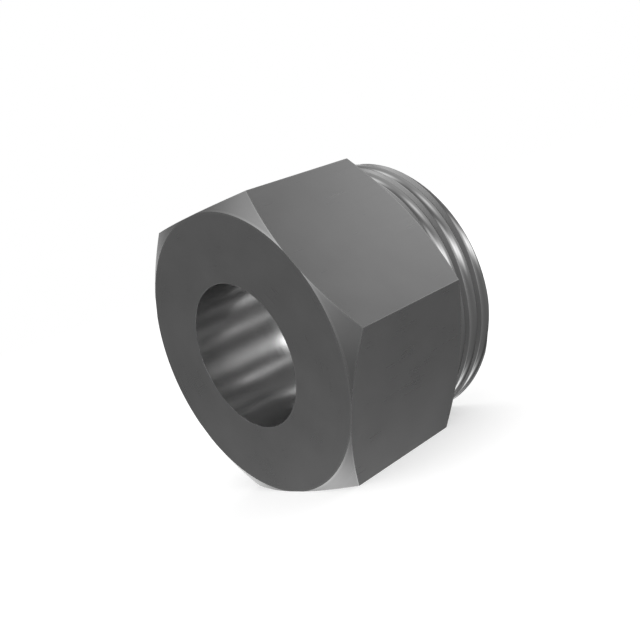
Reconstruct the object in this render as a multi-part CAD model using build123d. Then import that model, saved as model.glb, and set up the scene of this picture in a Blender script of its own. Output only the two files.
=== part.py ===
"""Hex lock nut: a chamfered hex head and a short male thread in one turned piece, bored through.

The nut lies on one flat of its hex. The origin is on the surface that it lies on, under the middle
of its length. +Z is up and +Y runs along the axis, from the chamfered face to the threaded end.
It is modelled standing on that face, with +Z along the axis, and is laid down at the end.
"""
from build123d import *
import math
import os

# Hex head
across_flats = 22.0
hex_height = 10.9
face_diameter = 22.07
face_chamfer_angle = 30.0

# Bore
bore_diameter = 11.4

# Male thread: shallow grooves between wide crests, with rounded edges that meet the crest at a slope
major_diameter = 21.94
thread_length = 4.85
thread_pitch = 1.5
thread_starts = 3
thread_phase = 109.0
groove_depth = 0.28
root_flat = 0.06
flank_angle = math.radians(45.0)
edge_radius = 0.15
edge_steps = 2
back_radius = 0.45
back_steps = 4
crest_slope = math.radians(10.0)
end_chamfer_length = 0.22
end_chamfer_depth = 0.13

# Collar between the thread and the hex, where the grooves run out on a cone
collar_length = 0.15

# How far a cutting shape reaches past what it cuts, and a groove past the ends of the boss
overshoot = 0.4
groove_overrun = 2.2


def turned(outline):
    """Solid of revolution of a closed outline in radius and height."""
    return revolve(make_face(Plane.XZ * outline), Axis.Z)


def hex_head():
    """Hex prism with the corners of its outer face turned off by a cone."""
    corner_radius = across_flats / math.sqrt(3)
    face_radius = face_diameter / 2
    turned_radius = corner_radius + overshoot
    drop = (turned_radius - face_radius) * math.tan(math.radians(face_chamfer_angle))
    outline = Polyline(
        (0, 0),
        (face_radius, 0),
        (turned_radius, drop),
        (turned_radius, hex_height),
        (0, hex_height),
        close=True,
    )
    prism = extrude(RegularPolygon(radius=corner_radius, side_count=6), amount=hex_height)
    return prism & turned(outline)


def boss_blank():
    """Turned boss on the hex, which is at z = 0, with the chamfer at its end."""
    major_radius = major_diameter / 2
    outline = Polyline(
        (0, 0),
        (major_radius, 0),
        (major_radius, thread_length - end_chamfer_length),
        (major_radius - end_chamfer_depth, thread_length),
        (0, thread_length),
        close=True,
    )
    return turned(outline)


def rounding(radius, foot_slope, steps):
    """Rounded edge from just over the crest down to a slope, as points with their height and run."""
    slopes = [foot_slope * k / steps for k in range(steps + 1)]
    return [(radius * (math.cos(slope) - math.cos(crest_slope)), radius * math.sin(slope)) for slope in slopes]


def groove_outline():
    """Groove across its run: a straight flank on its upper side, and the round back of a ridge below."""
    major_radius = major_diameter / 2
    root_radius = major_radius - groove_depth
    half_root = root_flat / 2
    edge = rounding(edge_radius, math.pi / 2 - flank_angle, edge_steps)
    foot_slope = math.acos(math.cos(crest_slope) - groove_depth / back_radius)
    back = rounding(back_radius, foot_slope, back_steps)
    flank_top = half_root + (groove_depth + edge[-1][0]) * math.tan(flank_angle)
    upper_side = [(major_radius + height, flank_top + edge[-1][1] - run) for height, run in reversed(edge)]
    lower_side = [(major_radius + height, run - back[-1][1] - half_root) for height, run in back]
    outer_radius = major_radius + overshoot
    outside = [(outer_radius, upper_side[-1][1]), (outer_radius, lower_side[0][1])]
    return Polyline(*upper_side, *outside, *lower_side, (root_radius, half_root), close=True)


def groove_path():
    """Left-hand helix of about two edges a turn, which the sweep follows closely."""
    lead = thread_pitch * thread_starts
    height = thread_length + 2 * groove_overrun
    count = max(1, round(2 * height / lead))
    rise = height / count
    root_radius = major_diameter / 2 - groove_depth
    piece = Helix(pitch=lead, height=rise, radius=root_radius, lefthand=True)
    return Wire([
        (Pos(0, 0, k * rise) * Rot(0, 0, -360 * k * rise / lead) * piece).edge()
        for k in range(count)
    ])


def thread_groove():
    """One helical groove, past the end of the boss and up to the cone at its collar."""
    major_radius = major_diameter / 2
    profile = make_face(Plane.XZ * groove_outline())
    groove = Pos(0, 0, -groove_overrun) * sweep(profile, path=groove_path(), is_frenet=True)
    below = -groove_overrun - thread_pitch
    cone = Polyline(
        (0, below),
        (major_radius + 2 * overshoot, below),
        (major_radius + 2 * overshoot, collar_length - 2 * overshoot),
        (0, collar_length + major_radius),
        close=True,
    )
    return groove - turned(cone)


def threaded_boss():
    """Boss with its helical grooves cut."""
    boss = boss_blank()
    groove = thread_groove()
    for start in range(thread_starts):
        boss -= Rot(0, 0, thread_phase + 360 * start / thread_starts) * groove
    return boss


def lock_nut():
    """The whole nut in one solid, standing on its chamfered face."""
    total_length = hex_height + thread_length
    bore = Cylinder(bore_diameter / 2, total_length + 2 * overshoot)
    nut = hex_head() + Pos(0, 0, hex_height) * threaded_boss()
    return nut - Pos(0, 0, total_length / 2) * bore


def laid_down(nut):
    """Turns the axis level, with the lowest flat on z = 0 and the middle of the length at y = 0."""
    total_length = hex_height + thread_length
    return Pos(0, -total_length / 2, across_flats / 2) * Rot(-90, 0, 0) * nut


os.makedirs("parts", exist_ok=True)
export_step(laid_down(lock_nut()), "parts/lock_nut.step")
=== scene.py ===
"""Looks of the hex lock nut: turned and milled dark steel, a pale studio and the camera."""
import math
from types import SimpleNamespace

import bmesh
import bpy
from mathutils import Matrix, Vector


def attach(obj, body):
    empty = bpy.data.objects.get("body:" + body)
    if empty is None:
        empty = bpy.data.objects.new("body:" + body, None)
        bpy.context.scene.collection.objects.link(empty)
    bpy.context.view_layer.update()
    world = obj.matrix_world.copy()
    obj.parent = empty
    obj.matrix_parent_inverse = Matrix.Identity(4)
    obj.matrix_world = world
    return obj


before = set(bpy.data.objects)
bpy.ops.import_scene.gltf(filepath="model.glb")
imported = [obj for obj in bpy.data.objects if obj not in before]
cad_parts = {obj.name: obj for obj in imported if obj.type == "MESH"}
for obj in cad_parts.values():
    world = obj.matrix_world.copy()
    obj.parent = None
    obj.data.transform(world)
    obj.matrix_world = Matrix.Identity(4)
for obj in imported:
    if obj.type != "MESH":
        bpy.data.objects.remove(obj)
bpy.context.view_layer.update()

# Sizes of the nut, in metres. Its axis runs along Y, and HEX_HEIGHT is that of the hex's corners.
ACROSS_FLATS = 0.022
HEX_HEIGHT = 0.0109
TOTAL_LENGTH = 0.01575
BORE_RADIUS = 0.0057
CHAMFER_RADIUS = 0.011035
CHAMFER_ANGLE = math.radians(30)
CREST_RADIUS = 0.01097
GROOVE_DEPTH = 0.00028
SIDE_ANGLE = math.radians(60)

# Places that follow from them: the axis, the front face, the CAD part's shoulder and the hex's true rear
AXIS_HEIGHT = ACROSS_FLATS / 2
CORNER_RADIUS = ACROSS_FLATS / math.sqrt(3)
FACE_Y = -TOTAL_LENGTH / 2
SHOULDER_Y = FACE_Y + HEX_HEIGHT
REAR_Y = SHOULDER_Y + (CORNER_RADIUS - CHAMFER_RADIUS) * math.tan(CHAMFER_ANGLE)

# Ring that ends the hex behind the shoulder, from inside the thread out to the flats
RING_INNER_RADIUS = 0.0105
RING_SECTIONS = 144
RING_SHARP_ANGLE = math.radians(15)
WELD_DISTANCE = 0.0000001

# Camera
CAMERA_PLACE = Vector((0.053149, -0.042149, 0.017849))
CAMERA_FORWARD = Vector((-0.7785, 0.6196, -0.1002))
CAMERA_UP = Vector((0.1485, 0.3370, 0.9297))
CAMERA_LENS = 48.013
CAMERA_SENSOR = 36.0
CAMERA_NEAR = 0.001

# Floor and its shadow
FLOOR_SIZE = 4.0
FLOOR_ALBEDO = 0.7
FLOOR_GLOW = 0.5

# Studio that the metal mirrors: a plain level, and soft boxes and shades on it, each with its
# azimuth, elevation and spread in degrees, and its strength. Azimuth 0 is on the side of the
# chamfered face, and 90 on the +X side.
STUDIO_LEVEL = 0.32
STUDIO_BOXES = {
    "front box": (-5, 35, 23, 2.3),
    "left box": (-115, -10, 15, 1.8),
    "low left box": (-55, -45, 13, 2.8),
    "high left lamp": (-50, 70, 8, 3.2),
    "top box": (70, 75, 13, 2.5),
    "right box": (90, 5, 16, 3.3),
    "low right wash": (95, -45, 22, 0.6),
    "underside lamp": (90, -80, 8, 4.2),
    "rear wash": (180, 15, 25, 0.9),
    "high rear wash": (160, 35, 6, 2.0),
    "high right lamp": (125, 25, 5, 1.6),
    "high rear lamp": (-165, 55, 7, 2.4),
    "right rear lamp": (130, 10, 6, 4.4),
    "rear lamp": (145, 5, 6, 3.8),
    "rear shade": (-160, -10, 18, -0.8),
    "low rear box": (-145, -60, 12, 0.6),
    "low rear lamp": (-160, -55, 6, 3.2),
    "upper bore strip": (-130, 10, 3.5, 2.8),
    "middle bore strip": (-130, -3, 3.5, 4.6),
    "lower bore strip": (-130, -15, 3.5, 3.2),
}

# Steel, darkened outside and brighter on the thread, with each finish's roughness. The bore's brighter
# colour is painted light, for the light its deep walls lack
STEEL_COLOUR = 0.15
THREAD_COLOUR = 0.19
BORE_PAINTED_LIGHT_COLOUR = 0.36
BORE_METALLIC = 0.88
ROUGHNESS = 0.3
THREAD_ROUGHNESS = 0.11
BORE_ROUGHNESS = 0.16

# Zones: how far a turned face leans to the axis at least, and how exactly a place is told
TURNED_FACING = 0.25
ZONE_MARGIN = 0.000005
CREST_MARGIN = 0.000012

# Crests of the thread, slightly crowned: where their middles lie and how far they reach from them,
# in pitches, and their slope at the edge
THREAD_PITCH = 0.0015
THREAD_STARTS = 3
THREAD_PHASE = 0.8083
CREST_MIDDLE = 0.475
CREST_HALF = 0.2255
CREST_SLOPE = math.radians(10)

# Tool marks: how many a metre, how much longer than wide, and how deep and strong they are
MARKS_PER_METRE = 9000.0
MARK_DETAIL = 3.0
MARK_LENGTH = 40.0
MARK_DEPTH = 0.000003
MARK_STRENGTH = 0.25
MARK_ROUGHNESS = 0.1

# Cloudy oil and heat stains, and how far they change the colour and the roughness
STAINS_PER_METRE = 250.0
STAIN_DETAIL = 4.0
STAIN_COLOUR = 0.22
STAIN_ROUGHNESS = 0.12
NOISE_MIDDLE = 0.5

# Bright worn metal along the edges, by the marks and a little everywhere
WEAR_WIDTH = 0.00009
WEAR_BASE = 0.2
WEAR_COLOUR = 0.2
WEAR_ROUGHNESS = 0.22

# Painted shade, darker towards the bottom of the thread's grooves, where the roughness also rises
GROOVE_SHADE_COLOUR = 0.4
GROOVE_ROUGHNESS = 0.12


def feed(tree, source, socket):
    """Links a socket to another node's output, or sets its value."""
    if isinstance(source, bpy.types.NodeSocket):
        tree.links.new(source, socket)
    else:
        socket.default_value = source


def calc(tree, operation, *values):
    """Output of a math node."""
    made = tree.nodes.new("ShaderNodeMath")
    made.operation = operation
    for value, socket in zip(values, made.inputs):
        feed(tree, value, socket)
    return made.outputs[0]


def vector_calc(tree, operation, *values):
    """Output of a vector math node, as a number where the operation gives one."""
    made = tree.nodes.new("ShaderNodeVectorMath")
    made.operation = operation
    for value, socket in zip(values, made.inputs):
        feed(tree, value, socket)
    return made.outputs["Value" if operation in ("DOT_PRODUCT", "LENGTH") else "Vector"]


def clamp(tree, value, low, high):
    """Number kept between two others."""
    return calc(tree, "MINIMUM", calc(tree, "MAXIMUM", value, low), high)


def blend(tree, share, first, second):
    """Number between two others, the first at a share of 0 and the second at 1."""
    return calc(tree, "ADD", first, calc(tree, "MULTIPLY", share, calc(tree, "SUBTRACT", second, first)))


def blend_vectors(tree, share, first, second):
    """Vector between two others, made by a colour mix."""
    made = tree.nodes.new("ShaderNodeMix")
    made.data_type = "RGBA"
    for name, value in (("Factor_Float", share), ("A_Color", first), ("B_Color", second)):
        socket = next(each for each in made.inputs if each.identifier == name)
        feed(tree, value, socket)
    return next(each for each in made.outputs if each.identifier == "Result_Color")


def split_vector(tree, vector):
    """The three parts of a vector."""
    made = tree.nodes.new("ShaderNodeSeparateXYZ")
    feed(tree, vector, made.inputs[0])
    return made.outputs


def join_vector(tree, *parts):
    """Vector of three numbers."""
    made = tree.nodes.new("ShaderNodeCombineXYZ")
    for part, socket in zip(parts, made.inputs):
        feed(tree, part, socket)
    return made.outputs[0]


def noise(tree, place, per_metre, detail):
    """Noise from 0 to 1, of so many patches a metre."""
    made = tree.nodes.new("ShaderNodeTexNoise")
    made.inputs["Scale"].default_value = per_metre
    made.inputs["Detail"].default_value = detail
    feed(tree, place, made.inputs["Vector"])
    return made.outputs["Fac"]


def grey(level):
    """Opaque grey."""
    return (level, level, level, 1.0)


def add_object(name, data):
    """Object of that data, in the scene."""
    made = bpy.data.objects.new(name, data)
    bpy.context.scene.collection.objects.link(made)
    return made


def add_camera():
    """The photograph's viewpoint."""
    data = bpy.data.cameras.new("camera")
    data.lens = CAMERA_LENS
    data.sensor_width = CAMERA_SENSOR
    data.clip_start = CAMERA_NEAR
    camera = add_object("camera", data)
    back = -CAMERA_FORWARD.normalized()
    right = CAMERA_UP.cross(back).normalized()
    up = back.cross(right)
    turn = Matrix((right, up, back)).transposed()
    camera.matrix_world = Matrix.Translation(CAMERA_PLACE) @ turn.to_4x4()
    bpy.context.scene.camera = camera


def floor_material():
    """Pale surface that glows to the camera, so that it is white and keeps a shadow."""
    material = bpy.data.materials.new("floor")
    material.use_nodes = True
    tree = material.node_tree
    tree.nodes.clear()
    diffuse = tree.nodes.new("ShaderNodeBsdfDiffuse")
    diffuse.inputs["Color"].default_value = grey(FLOOR_ALBEDO)
    glow = tree.nodes.new("ShaderNodeEmission")
    path = tree.nodes.new("ShaderNodeLightPath")
    feed(tree, calc(tree, "MULTIPLY", path.outputs["Is Camera Ray"], FLOOR_GLOW), glow.inputs["Strength"])
    both = tree.nodes.new("ShaderNodeAddShader")
    feed(tree, diffuse.outputs[0], both.inputs[0])
    feed(tree, glow.outputs[0], both.inputs[1])
    output = tree.nodes.new("ShaderNodeOutputMaterial")
    feed(tree, both.outputs[0], output.inputs["Surface"])
    return material


def add_floor():
    """Floor that takes the nut's shadow and that the metal doesn't mirror."""
    half = FLOOR_SIZE / 2
    mesh = bpy.data.meshes.new("floor")
    corners = [(-half, -half, 0), (half, -half, 0), (half, half, 0), (-half, half, 0)]
    mesh.from_pydata(corners, [], [(0, 1, 2, 3)])
    mesh.materials.append(floor_material())
    floor = add_object("floor", mesh)
    floor.visible_glossy = False


def soft_box(tree, ray, azimuth, elevation, spread, strength):
    """Glow of a soft box, which falls off smoothly round its direction."""
    turn = math.radians(azimuth)
    rise = math.radians(elevation)
    place = (math.cos(rise) * math.sin(turn), -math.cos(rise) * math.cos(turn), math.sin(rise))
    away = calc(tree, "SUBTRACT", vector_calc(tree, "DOT_PRODUCT", ray, place), 1.0)
    fall = calc(tree, "EXPONENT", calc(tree, "DIVIDE", away, math.radians(spread) ** 2))
    return calc(tree, "MULTIPLY", fall, strength)


def add_world():
    """White surroundings, in which the metal mirrors the soft boxes."""
    world = bpy.data.worlds.new("studio")
    world.use_nodes = True
    world.cycles.sampling_method = "NONE"
    tree = world.node_tree
    background = tree.nodes["Background"]
    background.inputs["Color"].default_value = grey(1.0)
    ray = tree.nodes.new("ShaderNodeTexCoord").outputs["Generated"]
    level = STUDIO_LEVEL
    for box in STUDIO_BOXES.values():
        level = calc(tree, "ADD", level, soft_box(tree, ray, *box))
    level = calc(tree, "MAXIMUM", level, 0.0)
    glossy = tree.nodes.new("ShaderNodeLightPath").outputs["Is Glossy Ray"]
    extra = calc(tree, "MULTIPLY", calc(tree, "SUBTRACT", level, 1.0), glossy)
    feed(tree, calc(tree, "ADD", extra, 1.0), background.inputs["Strength"])
    bpy.context.scene.world = world


def find_spot(tree):
    """Where a point lies: its place, its place round the axis, and its zones, which are 0 or 1."""
    coordinates = tree.nodes.new("ShaderNodeTexCoord")
    spot = SimpleNamespace(place=coordinates.outputs["Object"], normal=coordinates.outputs["Normal"])
    spot.across, spot.along, height = split_vector(tree, spot.place)
    spot.rise = calc(tree, "SUBTRACT", height, AXIS_HEIGHT)
    spoke = join_vector(tree, spot.across, 0.0, spot.rise)
    spot.outward = vector_calc(tree, "NORMALIZE", spoke)
    spot.radius = vector_calc(tree, "LENGTH", spoke)
    spot.angle = calc(tree, "ARCTAN2", spot.across, spot.rise)

    facing = calc(tree, "ABSOLUTE", split_vector(tree, spot.normal)[1])
    spot.turned = calc(tree, "GREATER_THAN", facing, TURNED_FACING)
    spot.in_bore = calc(tree, "LESS_THAN", spot.radius, BORE_RADIUS + ZONE_MARGIN)
    behind = calc(tree, "GREATER_THAN", spot.along, SHOULDER_Y + ZONE_MARGIN)
    slim = calc(tree, "LESS_THAN", spot.radius, CREST_RADIUS + CREST_MARGIN)
    spot.on_boss = calc(tree, "MULTIPLY", behind, slim)
    not_thread = calc(tree, "MAXIMUM", spot.turned, spot.in_bore)
    spot.on_thread = calc(tree, "MULTIPLY", spot.on_boss, calc(tree, "SUBTRACT", 1.0, not_thread))
    spot.on_flats = calc(tree, "SUBTRACT", 1.0, calc(tree, "MAXIMUM", not_thread, spot.on_boss))
    return spot


def tool_marks(tree, spot):
    """Rings of the turned faces, rings of the bore and the thread, and drawn lines on the flats."""
    slow_across, slow_along, slow_rise = (
        calc(tree, "MULTIPLY", part, 1 / MARK_LENGTH) for part in (spot.across, spot.along, spot.rise)
    )
    ring_step = blend(tree, spot.turned, spot.along, spot.radius)
    place = join_vector(
        tree,
        blend(tree, spot.on_flats, slow_across, spot.across),
        blend(tree, spot.on_flats, ring_step, slow_along),
        blend(tree, spot.on_flats, slow_rise, spot.rise),
    )
    return noise(tree, place, MARKS_PER_METRE, MARK_DETAIL)


def edge_wear(tree, spot, marks):
    """How worn a point is, from its nearness to an edge of the hex, of a chamfer or of the bore."""
    turn = calc(tree, "PINGPONG", spot.angle, SIDE_ANGLE / 2)
    next_turn = calc(tree, "SUBTRACT", SIDE_ANGLE, turn)
    surfaces = [calc(tree, "SUBTRACT", spot.radius, BORE_RADIUS)]
    for side_turn in (turn, next_turn):
        reach = calc(tree, "MULTIPLY", spot.radius, calc(tree, "COSINE", side_turn))
        surfaces.append(calc(tree, "SUBTRACT", AXIS_HEIGHT, reach))
    past_face = calc(tree, "SUBTRACT", spot.radius, CHAMFER_RADIUS)
    cone_run = calc(tree, "MULTIPLY", past_face, math.sin(CHAMFER_ANGLE))
    for depth in (calc(tree, "SUBTRACT", spot.along, FACE_Y), calc(tree, "SUBTRACT", REAR_Y, spot.along)):
        cone_rise = calc(tree, "MULTIPLY", depth, math.cos(CHAMFER_ANGLE))
        surfaces.append(depth)
        surfaces.append(calc(tree, "SUBTRACT", cone_rise, cone_run))

    # A point on one surface alone sums to 0, and one where two meet to 1
    total = -1.0
    for surface in surfaces:
        gap = calc(tree, "DIVIDE", calc(tree, "ABSOLUTE", surface), WEAR_WIDTH)
        near = calc(tree, "MAXIMUM", calc(tree, "SUBTRACT", 1.0, gap), 0.0)
        total = calc(tree, "ADD", total, near)
    off_boss = calc(tree, "SUBTRACT", 1.0, spot.on_boss)
    wear = calc(tree, "MULTIPLY", clamp(tree, total, 0.0, 1.0), off_boss)
    return calc(tree, "MULTIPLY", wear, calc(tree, "ADD", marks, WEAR_BASE))


def thread_groove_shade(tree, spot):
    """Painted shade on the thread, from 0 on a crest to 1 at the bottom of a groove."""
    sunk = calc(tree, "DIVIDE", calc(tree, "SUBTRACT", CREST_RADIUS, spot.radius), GROOVE_DEPTH)
    return calc(tree, "MULTIPLY", clamp(tree, sunk, 0.0, 1.0), spot.on_thread)


def steel_colour(tree, spot, stains, groove_shade, wear):
    """Base colour of the steel."""
    shade = blend(tree, spot.on_thread, STEEL_COLOUR, THREAD_COLOUR)
    # Painted light: the bore gets a brighter colour for the light its deep walls lack
    shade = blend(tree, spot.in_bore, shade, BORE_PAINTED_LIGHT_COLOUR)
    stained = calc(tree, "ADD", calc(tree, "MULTIPLY", stains, STAIN_COLOUR), 1.0)
    shade = calc(tree, "MULTIPLY", shade, stained)
    # Painted shade: darker towards the bottom of the thread's grooves
    shade = calc(tree, "MULTIPLY", shade, blend(tree, groove_shade, 1.0, 1.0 - GROOVE_SHADE_COLOUR))
    shade = blend(tree, wear, shade, calc(tree, "MAXIMUM", shade, WEAR_COLOUR))
    return join_vector(tree, shade, shade, shade)


def steel_roughness(tree, spot, marks, stains, groove_shade, wear):
    """Roughness of the steel."""
    rough = blend(tree, spot.on_thread, ROUGHNESS, THREAD_ROUGHNESS)
    rough = blend(tree, spot.in_bore, rough, BORE_ROUGHNESS)
    for swing, share in ((marks, MARK_ROUGHNESS), (stains, STAIN_ROUGHNESS), (groove_shade, GROOVE_ROUGHNESS)):
        rough = calc(tree, "ADD", rough, calc(tree, "MULTIPLY", swing, share))
    return blend(tree, wear, rough, WEAR_ROUGHNESS)


def crest_normal(tree, spot):
    """Normal of a crowned crest, which leans to the two grooves beside it."""
    climb = calc(tree, "DIVIDE", calc(tree, "SUBTRACT", spot.along, SHOULDER_Y), THREAD_PITCH)
    wound = calc(tree, "MULTIPLY", spot.angle, THREAD_STARTS / (2 * math.pi))
    share = calc(tree, "FRACT", calc(tree, "ADD", calc(tree, "ADD", climb, wound), THREAD_PHASE))
    side = calc(tree, "DIVIDE", calc(tree, "SUBTRACT", share, CREST_MIDDLE), CREST_HALF)
    lean = calc(tree, "MULTIPLY", clamp(tree, side, -1.0, 1.0), math.tan(CREST_SLOPE))
    leaning = vector_calc(tree, "ADD", spot.outward, join_vector(tree, 0.0, lean, 0.0))
    return vector_calc(tree, "NORMALIZE", leaning)


def steel_normal(tree, spot):
    """Normal in world space, truly round on the crests and in the bore."""
    near_crest = calc(tree, "GREATER_THAN", spot.radius, CREST_RADIUS - CREST_MARGIN)
    on_crest = calc(tree, "MULTIPLY", near_crest, spot.on_thread)
    inward = vector_calc(tree, "MULTIPLY", spot.outward, (-1.0, -1.0, -1.0))
    outside = blend_vectors(tree, on_crest, spot.normal, crest_normal(tree, spot))
    to_world = tree.nodes.new("ShaderNodeVectorTransform")
    to_world.vector_type = "NORMAL"
    to_world.convert_from = "OBJECT"
    to_world.convert_to = "WORLD"
    feed(tree, blend_vectors(tree, spot.in_bore, outside, inward), to_world.inputs[0])
    return to_world.outputs[0]


def relief(tree, normal, marks):
    """Normal with the relief of the tool marks."""
    bump = tree.nodes.new("ShaderNodeBump")
    bump.inputs["Strength"].default_value = MARK_STRENGTH
    bump.inputs["Distance"].default_value = MARK_DEPTH
    feed(tree, marks, bump.inputs["Height"])
    feed(tree, normal, bump.inputs["Normal"])
    return bump.outputs[0]


def steel():
    """Dark oiled steel, finely turned and drawn, with worn edges, painted shade in the thread's grooves and
    painted light in the bore.
    """
    material = bpy.data.materials.new("steel")
    material.use_nodes = True
    tree = material.node_tree
    shader = tree.nodes["Principled BSDF"]
    spot = find_spot(tree)
    marks = tool_marks(tree, spot)
    mark_swing = calc(tree, "SUBTRACT", marks, NOISE_MIDDLE)
    stains = noise(tree, spot.place, STAINS_PER_METRE, STAIN_DETAIL)
    stain_swing = calc(tree, "SUBTRACT", stains, NOISE_MIDDLE)
    # Painted shade in the thread's grooves, which also makes them rougher
    groove_shade = thread_groove_shade(tree, spot)
    wear = edge_wear(tree, spot, marks)
    colour = steel_colour(tree, spot, stain_swing, groove_shade, wear)
    roughness = steel_roughness(tree, spot, mark_swing, stain_swing, groove_shade, wear)
    feed(tree, colour, shader.inputs["Base Color"])
    feed(tree, roughness, shader.inputs["Roughness"])
    feed(tree, relief(tree, steel_normal(tree, spot), marks), shader.inputs["Normal"])

    # A film of oil dulls the bore
    feed(tree, blend(tree, spot.in_bore, 1.0, BORE_METALLIC), shader.inputs["Metallic"])
    return material


def ring_section(turn):
    """Outline of the ring at one angle round the axis, in radius and place along the axis."""
    from_middle = (turn + SIDE_ANGLE / 2) % SIDE_ANGLE - SIDE_ANGLE / 2
    hex_radius = AXIS_HEIGHT / math.cos(from_middle)
    face_radius = min(hex_radius, CHAMFER_RADIUS)
    cone_y = REAR_Y - (hex_radius - face_radius) * math.tan(CHAMFER_ANGLE)
    return [
        (RING_INNER_RADIUS, SHOULDER_Y),
        (hex_radius, SHOULDER_Y),
        (hex_radius, cone_y),
        (face_radius, REAR_Y),
        (RING_INNER_RADIUS, REAR_Y),
    ]


def ring_mesh():
    """Closed ring between the shoulder and the hex's rear, with its sections joined round the axis."""
    shape = bmesh.new()
    rows = []
    for k in range(RING_SECTIONS):
        turn = 2 * math.pi * k / RING_SECTIONS
        rows.append([
            shape.verts.new((radius * math.sin(turn), y, AXIS_HEIGHT + radius * math.cos(turn)))
            for radius, y in ring_section(turn)
        ])
    for row, next_row in zip(rows, rows[1:] + rows[:1]):
        for k in range(len(row)):
            shape.faces.new((row[k - 1], row[k], next_row[k], next_row[k - 1]))
    bmesh.ops.remove_doubles(shape, verts=shape.verts, dist=WELD_DISTANCE)
    bmesh.ops.recalc_face_normals(shape, faces=shape.faces)
    mesh = bpy.data.meshes.new("rear_chamfer")
    shape.to_mesh(mesh)
    shape.free()
    mesh.shade_smooth()
    mesh.set_sharp_from_angle(angle=RING_SHARP_ANGLE)
    return mesh


def add_rear_chamfer(material):
    """Rear end of the hex: its flats run on in curves, to a cone that turns off the rear corners."""
    mesh = ring_mesh()
    mesh.materials.append(material)
    ring = add_object("rear_chamfer", mesh)
    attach(ring, "root")


add_camera()
add_floor()
add_world()
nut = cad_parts["lock_nut"]
nut_steel = steel()
nut.material_slots[0].material = nut_steel
add_rear_chamfer(nut_steel)

bpy.context.scene.view_settings.view_transform = "Standard"
